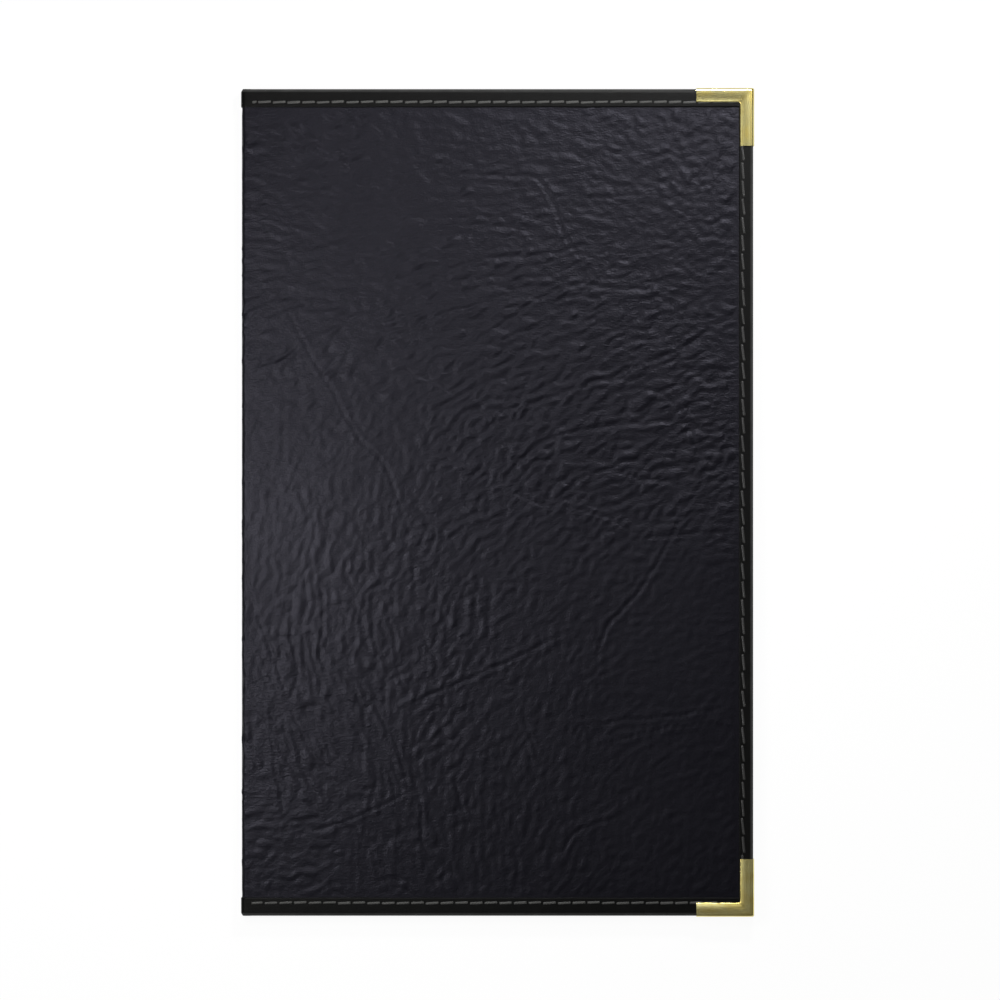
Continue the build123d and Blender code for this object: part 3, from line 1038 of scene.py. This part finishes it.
def make_long_strip(leaf, end_name, sizes, material):
    """Top or bottom strip of one leaf, with its stretch round half of the spine."""
    side, end = LEAVES[leaf], ENDS[end_name]
    depth = STRIP_LEVEL - INNER_LEVEL
    width = STRIP_Y - FIELD_Y
    ring = strip_ring(width)
    path = wrap_section(STRIP_LEVEL, STRIP_X, STRIP_ALONG)
    normals = path_normals(path)
    normals[0], normals[-1] = (-1, 0), (0, 1)
    along = flat_length(path)
    start = SPINE_X + FIRST_HOLE[end_name]
    fade = smooth_step(run_length(path), 0, SPINE_FADE)
    opening = smooth_step(along, BOARD_X - SPINE_OPENING, BOARD_X)
    wander = EDGE_WANDER * line_noise(along / LONG_DRIFT, 3.3 + end, LONG_EDGE_SEED) * fade
    swell = STRIP_SWELL * line_noise(along / SWELL_DRIFT, 7.7 + end, SWELL_SEED) * fade
    rings = []
    for i in range(len(path)):
        end_depth = SPINE_DEPTH + (depth - SPINE_DEPTH) * opening[i]
        distance, low = shaped_ring(ring, depth, along[i], end_depth, sizes.long_seam,
                                    sizes.long_pitch, start, wander[i], -end, sizes)
        low = low - swell[i] * np.sin(np.clip(distance / width, 0, 1) * math.pi) * (low < depth / 2)
        x = path[i, 0] - normals[i, 0] * low
        level = path[i, 1] - normals[i, 1] * low
        rings.append(in_frame(x, end * (STRIP_Y - distance), level, side))
    strip = swept_ring(f"{leaf}_{end_name}_strip", np.array(rings), material)
    return paint_fold_highlight(strip, ring, len(rings))


def make_side_strip(leaf, sizes, material):
    """Fore-edge strip of one leaf, butted between the long ones."""
    side = LEAVES[leaf]
    depth = STRIP_LEVEL - INNER_LEVEL
    ring = strip_ring(STRIP_X - FIELD_X)
    y = spaced(-FIELD_Y, FIELD_Y, STRIP_ALONG)
    fade = smooth_step(FIELD_Y - np.abs(y), 0, SPINE_FADE)
    wander = EDGE_WANDER * line_noise(y / SIDE_DRIFT, 5.1, SIDE_EDGE_SEED) * fade
    rings = []
    for place, shift in zip(y, wander):
        distance, low = shaped_ring(ring, depth, place, depth, sizes.side_seam,
                                    sizes.side_pitch, SIDE_FIRST_HOLE, shift, 0, sizes)
        rings.append(in_frame(STRIP_X - distance, place, STRIP_LEVEL - low, side))
    strip = swept_ring(f"{leaf}_side_strip", np.array(rings), material)
    return paint_fold_highlight(strip, ring, len(rings))


# Stitches

def stitch_rings(first, last, seam, slant, width, body, hump):
    """One stitch from hole to hole: along the seam, across it and above the strip.

    Its ends rise in a hump, turn down into the holes and lean to opposite sides.
    """
    share = np.sin(np.linspace(-1, 1, STITCH_STATIONS) * math.pi / 2)
    middle, half = (first + last) / 2, (last - first) / 2
    turns = np.linspace(0, 2 * math.pi, STITCH_SIDES, endpoint=False)
    thick = width * (0.55 + 0.45 * np.sqrt(np.clip(1 - share ** 6, 0, 1)))
    humps = np.exp(-((np.abs(share) - HUMP_PLACE) / HUMP_WIDTH) ** 2)
    lift = body * (1 - share ** 6) + hump * humps
    rise = THREAD_HEIGHT * lift - THREAD_SINK * share ** 14
    along = (middle + half * share)[:, None] + 0 * turns
    across = (seam + slant * share)[:, None] + thick[:, None] / 2 * np.cos(turns)
    height = rise[:, None] + THREAD_HEIGHT * THREAD_ROUND * np.sin(turns) * (thick / width)[:, None]
    return along, across, height


def stitch_row(name, holes, seam, slant, lift, sizes, place, seed, material):
    """All stitches of a row; place turns (along, from the fold, height) into points."""
    chance = np.random.default_rng(seed)
    points, faces, flat_faces = [], [], []
    for first, last in zip(holes, holes[1:]):
        gap = HOLE_GAP * (0.8 + 0.4 * chance.random())
        lean = slant * (0.8 + 0.4 * chance.random())
        draw = ROW_WANDER * (chance.random() - 0.5)
        width = sizes.thread_width * (0.92 + 0.16 * chance.random())
        for outside in (True, False):
            along, across, height = stitch_rings(first + gap / 2, last - gap / 2, seam + draw,
                                                 lean, width, *lift)
            base = len(points) * STITCH_STATIONS * STITCH_SIDES
            points.append(place(along, across, height, outside))
            faces += bar_faces(STITCH_STATIONS, STITCH_SIDES, base)
            flat_faces += [len(faces) - 2, len(faces) - 1]
    points = np.concatenate([p.reshape(-1, 3) for p in points])
    return mesh_piece(name, points, faces, material, flat_faces)


def thread_levels(height, outside, sizes):
    """Level of the thread on the outer or the inner face of a strip."""
    lie = sizes.seam_depth * THREAD_LIE
    return STRIP_LEVEL - lie + height if outside else INNER_LEVEL + lie - height


def make_long_stitches(leaf, end_name, sizes, material):
    """The row of stitches along a top or bottom strip."""
    side, end = LEAVES[leaf], ENDS[end_name]
    start = SPINE_X + FIRST_HOLE[end_name]
    holes = np.arange(start, STRIP_X - sizes.side_seam, sizes.long_pitch)
    holes = np.concatenate([[start - FIRST_STITCH[end_name]], holes])

    def place(along, across, height, outside):
        level = thread_levels(height, outside, sizes)
        return in_frame(along, end * (STRIP_Y - across), level, side)

    return stitch_row(f"{leaf}_{end_name}_stitches", holes, sizes.long_seam, -end * LONG_SLANT,
                      LONG_LIFT, sizes, place, LONG_ROW_SEED, material)


def make_side_stitches(leaf, sizes, material):
    """The row of stitches along a fore-edge strip."""
    side = LEAVES[leaf]
    holes = np.arange(SIDE_FIRST_HOLE, FIELD_Y, sizes.side_pitch)

    def place(along, across, height, outside):
        level = thread_levels(height, outside, sizes)
        return in_frame(STRIP_X - across, along, level, side)

    return stitch_row(f"{leaf}_side_stitches", holes, sizes.side_seam, SIDE_SLANT,
                      SIDE_LIFT, sizes, place, SIDE_ROW_SEED, material)


# Brass corners

def corner_profile():
    """Closed section of the pressed sheet: distance from the outer edge, and level."""
    half = BRASS_THICKNESS / 2
    width = CORNER_LEG_WIDTH
    high, low = STRIP_LEVEL + half, INNER_LEVEL - half
    corners = [(width, high), (half, high), (half, low), (width, low)]
    middle = rounded_path(corners, BRASS_FOLD, BRASS_STEP)
    normals = -path_normals(middle)
    share = edge_thickness(middle, half, 0.1)
    place = middle[:, 0] / width - BRASS_CROWN
    place = place / np.where(place > 0, 1 - BRASS_CROWN, BRASS_CROWN)
    swell = np.clip(1 - place ** 2, 0, 1)
    upper = middle[:, 1] > (high + low) / 2
    outer_dome = CORNER_HIGH.z - CLOSING_Z - STRIP_LEVEL - BRASS_THICKNESS
    inner_dome = INNER_LEVEL - BRASS_THICKNESS - (CORNER_LOW.z - CLOSING_Z)
    middle[:, 1] += np.where(upper, outer_dome, -inner_dome) * swell
    return sheet_section(middle, normals, half, share)


def make_corner(leaf, end_name, material):
    """Brass corner: the profile taken round the free corner, as one pressed surface."""
    side, end = LEAVES[leaf], ENDS[end_name]
    profile = corner_profile()
    inward, level = profile[:, 0], profile[:, 1]
    leg = CORNER_HIGH.x - CORNER_LOW.x
    far = leg - inward - BRASS_PLAN_RADIUS
    shift = inward + BRASS_PLAN_RADIUS
    runs = np.linspace(0, 1, CORNER_STATIONS)
    plan = [(inward, leg - far * share) for share in runs]
    for turn in np.linspace(0, math.pi / 2, ARC_STEPS + 1)[1:]:
        plan.append((shift - BRASS_PLAN_RADIUS * math.cos(turn),
                     shift - BRASS_PLAN_RADIUS * math.sin(turn)))
    plan += [(shift + far * share, inward) for share in runs[1:]]
    rings = np.array([in_frame(CORNER_HIGH.x - a, end * (CORNER_HIGH.y - b), level, side)
                      for a, b in plan])
    piece = swept_ring(f"{leaf}_{end_name}_brass_corner", rings, material)
    steps = np.linalg.norm(np.diff(rings[:, 0], axis=0), axis=1)
    values = np.zeros((*rings.shape[:2], 3))
    values[..., 0] = run_length(profile)
    values[..., 1] = np.concatenate([[0], np.cumsum(steps)])[:, None]
    add_vector(piece, "leg", values)
    return piece


# Stage

def area_light(name, place, target, size, power):
    """A soft lamp that looks at a place on the cover."""
    lamp = bpy.data.lights.new(name, "AREA")
    lamp.shape = "RECTANGLE"
    lamp.size, lamp.size_y = size
    lamp.energy = power
    holder = bpy.data.objects.new(name, lamp)
    holder.location = place
    holder.rotation_euler = (Vector(target) - Vector(place)).to_track_quat("-Z", "Y").to_euler()
    bpy.context.scene.collection.objects.link(holder)
    return holder


def make_world():
    """Studio surround: bright at the horizon, dimmer overhead, white to the camera."""
    world = bpy.data.worlds.new("studio")
    bpy.context.scene.world = world
    world.use_nodes = True
    tree = world.node_tree
    place = add_node(tree, "ShaderNodeTexCoord")
    split = add_node(tree, "ShaderNodeSeparateXYZ")
    tree.links.new(place.outputs["Generated"], split.inputs["Vector"])
    ramp = add_node(tree, "ShaderNodeValToRGB")
    tree.links.new(split.outputs["Z"], ramp.inputs["Fac"])
    stops = ramp.color_ramp.elements
    while len(stops) < len(WORLD_STOPS):
        stops.new(0.5)
    for stop, (height, value) in zip(stops, WORLD_STOPS):
        stop.position = height
        stop.color = (value, value, value, 1)
    rays = add_node(tree, "ShaderNodeLightPath")
    white = blend_colours(tree, rays.outputs["Is Camera Ray"], (0, 0, 0), (1, 1, 1))
    mix = add_node(tree, "ShaderNodeMix", {"data_type": "RGBA", "blend_type": "LIGHTEN"})
    mix.inputs["Factor"].default_value = 1
    tree.links.new(ramp.outputs["Color"], mix.inputs["A"])
    tree.links.new(white, mix.inputs["B"])
    tree.links.new(mix.outputs["Result"], tree.nodes["Background"].inputs["Color"])
    tree.nodes["Background"].inputs["Strength"].default_value = 1.0
    return world


def make_floor(material):
    """Studio floor under the cover."""
    mesh = bpy.data.meshes.new("studio_floor")
    reach = FLOOR_REACH
    corners = [(-reach, -reach, 0), (reach, -reach, 0), (reach, reach, 0), (-reach, reach, 0)]
    mesh.from_pydata(corners, [], [(0, 1, 2, 3)])
    mesh.materials.append(material)
    floor = bpy.data.objects.new("studio_floor", mesh)
    bpy.context.scene.collection.objects.link(floor)
    return floor


def make_camera():
    """Camera straight above the cover, with the photograph's frame."""
    camera = bpy.data.cameras.new("camera")
    camera.sensor_width = 36.0
    camera.lens = camera.sensor_width * CAMERA_DISTANCE / VIEW_WIDTH
    camera.clip_end = 50
    holder = bpy.data.objects.new("camera", camera)
    holder.location = (VIEW_CENTRE[0], VIEW_CENTRE[1], CAMERA_DISTANCE + CLOSING_Z + STRIP_LEVEL)
    bpy.context.scene.collection.objects.link(holder)
    bpy.context.scene.camera = holder
    bpy.context.scene.view_settings.view_transform = "Standard"
    return holder


# Operators, one for each kind of piece

def sizes_of(context):
    """The sizes set in the scene."""
    return context.scene.cover_sizes


def colours_of(context):
    """The colours set in the scene."""
    return context.scene.cover_colours


class MakeHide(bpy.types.Operator):
    """Make the outer leather, one half of the hide on each leaf"""
    bl_idname = "cover.make_hide"
    bl_label = "Outer leather"

    def execute(self, context):
        sizes = sizes_of(context)
        material = leather_material(colours_of(context))
        for leaf in LEAVES:
            hide = make_hide(leaf, sizes, material)
            bend_with_leaf(hide, leaf)
            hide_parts(f"{leaf}_leather", "spine_leather")
        return {"FINISHED"}


class MakeLining(bpy.types.Operator):
    """Make the lining cloth of both leaves"""
    bl_idname = "cover.make_lining"
    bl_label = "Lining"

    def execute(self, context):
        material = lining_material(colours_of(context))
        for leaf in LEAVES:
            lining = make_lining(leaf, material)
            bend_with_leaf(lining, leaf)
            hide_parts(f"{leaf}_lining", "spine_lining")
        return {"FINISHED"}


class MakePockets(bpy.types.Operator):
    """Make the clear pocket of each leaf"""
    bl_idname = "cover.make_pockets"
    bl_label = "Clear pockets"

    def execute(self, context):
        material = vinyl_material(colours_of(context))
        for leaf in LEAVES:
            pocket = make_pocket(leaf, material)
            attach(pocket, f"{leaf}_panel")
            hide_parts(f"{leaf}_pocket")
        return {"FINISHED"}


class FinishBoards(bpy.types.Operator):
    """Give the boards inside the leaves their fibre finish"""
    bl_idname = "cover.finish_boards"
    bl_label = "Boards"

    def execute(self, context):
        material = board_material(colours_of(context))
        for leaf in LEAVES:
            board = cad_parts[f"{leaf}_board"]
            board.data.materials.clear()
            board.data.materials.append(material)
        return {"FINISHED"}


class MakeStrips(bpy.types.Operator):
    """Make the binding strips along the top, bottom and fore edges"""
    bl_idname = "cover.make_strips"
    bl_label = "Binding strips"

    def execute(self, context):
        sizes = sizes_of(context)
        material = strip_material(colours_of(context))
        for leaf in LEAVES:
            for end_name in ENDS:
                strip = make_long_strip(leaf, end_name, sizes, material)
                bend_with_leaf(strip, leaf)
                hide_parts(f"{leaf}_{end_name}_binding", f"spine_{end_name}_binding")
            strip = make_side_strip(leaf, sizes, material)
            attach(strip, f"{leaf}_panel")
            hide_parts(f"{leaf}_side_binding")
        return {"FINISHED"}


class MakeStitches(bpy.types.Operator):
    """Make the rows of stitches that hold the binding strips"""
    bl_idname = "cover.make_stitches"
    bl_label = "Stitches"

    def execute(self, context):
        sizes = sizes_of(context)
        thread = thread_material("sewing_thread", colours_of(context).thread, 0.5)
        # The fore-edge row takes the same thread painted darker, as painted shade
        shaded_thread = thread_material("shaded_side_thread", colours_of(context).side_thread, 0.36)
        for leaf in LEAVES:
            rows = [make_long_stitches(leaf, end_name, sizes, thread) for end_name in ENDS]
            rows.append(make_side_stitches(leaf, sizes, shaded_thread))
            for row in rows:
                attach(row, f"{leaf}_panel")
        return {"FINISHED"}


class MakeCorners(bpy.types.Operator):
    """Make the pressed brass corners"""
    bl_idname = "cover.make_corners"
    bl_label = "Brass corners"

    def execute(self, context):
        material = brass_material(colours_of(context))
        for leaf in LEAVES:
            for end_name in ENDS:
                corner = make_corner(leaf, end_name, material)
                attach(corner, f"{leaf}_panel")
                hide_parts(f"{leaf}_{end_name}_corner")
        return {"FINISHED"}


class MakeStage(bpy.types.Operator):
    """Make the studio floor, surround, lamps and camera"""
    bl_idname = "cover.make_stage"
    bl_label = "Stage"

    def execute(self, context):
        make_floor(floor_material(colours_of(context)))
        make_world()
        for lamp in LAMPS:
            area_light(*lamp)
        make_camera()
        return {"FINISHED"}


OPERATORS = (
    MakeHide, MakeLining, MakePockets, FinishBoards,
    MakeStrips, MakeStitches, MakeCorners, MakeStage,
)


class CoverPanel(bpy.types.Panel):
    """Lists the steps that make the menu cover."""
    bl_idname = "VIEW3D_PT_menu_cover"
    bl_label = "Menu cover"
    bl_space_type = "VIEW_3D"
    bl_region_type = "UI"
    bl_category = "Menu cover"

    def draw(self, context):
        for kind, settings in (("Sizes", sizes_of(context)), ("Colours", colours_of(context))):
            box = self.layout.box()
            box.label(text=kind)
            for name in settings.__annotations__:
                box.prop(settings, name)
        for operator in OPERATORS:
            self.layout.operator(operator.bl_idname)


CLASSES = (CoverSizes, CoverColours, *OPERATORS, CoverPanel)


def register():
    for kind in CLASSES:
        bpy.utils.register_class(kind)
    bpy.types.Scene.cover_sizes = bpy.props.PointerProperty(type=CoverSizes)
    bpy.types.Scene.cover_colours = bpy.props.PointerProperty(type=CoverColours)


def unregister():
    del bpy.types.Scene.cover_colours
    del bpy.types.Scene.cover_sizes
    for kind in reversed(CLASSES):
        bpy.utils.unregister_class(kind)


def main():
    """Make the whole cover and its stage."""
    register()
    for operator in OPERATORS:
        group, name = operator.bl_idname.split(".")
        getattr(getattr(bpy.ops, group), name)()


if __name__ == "__main__":
    main()
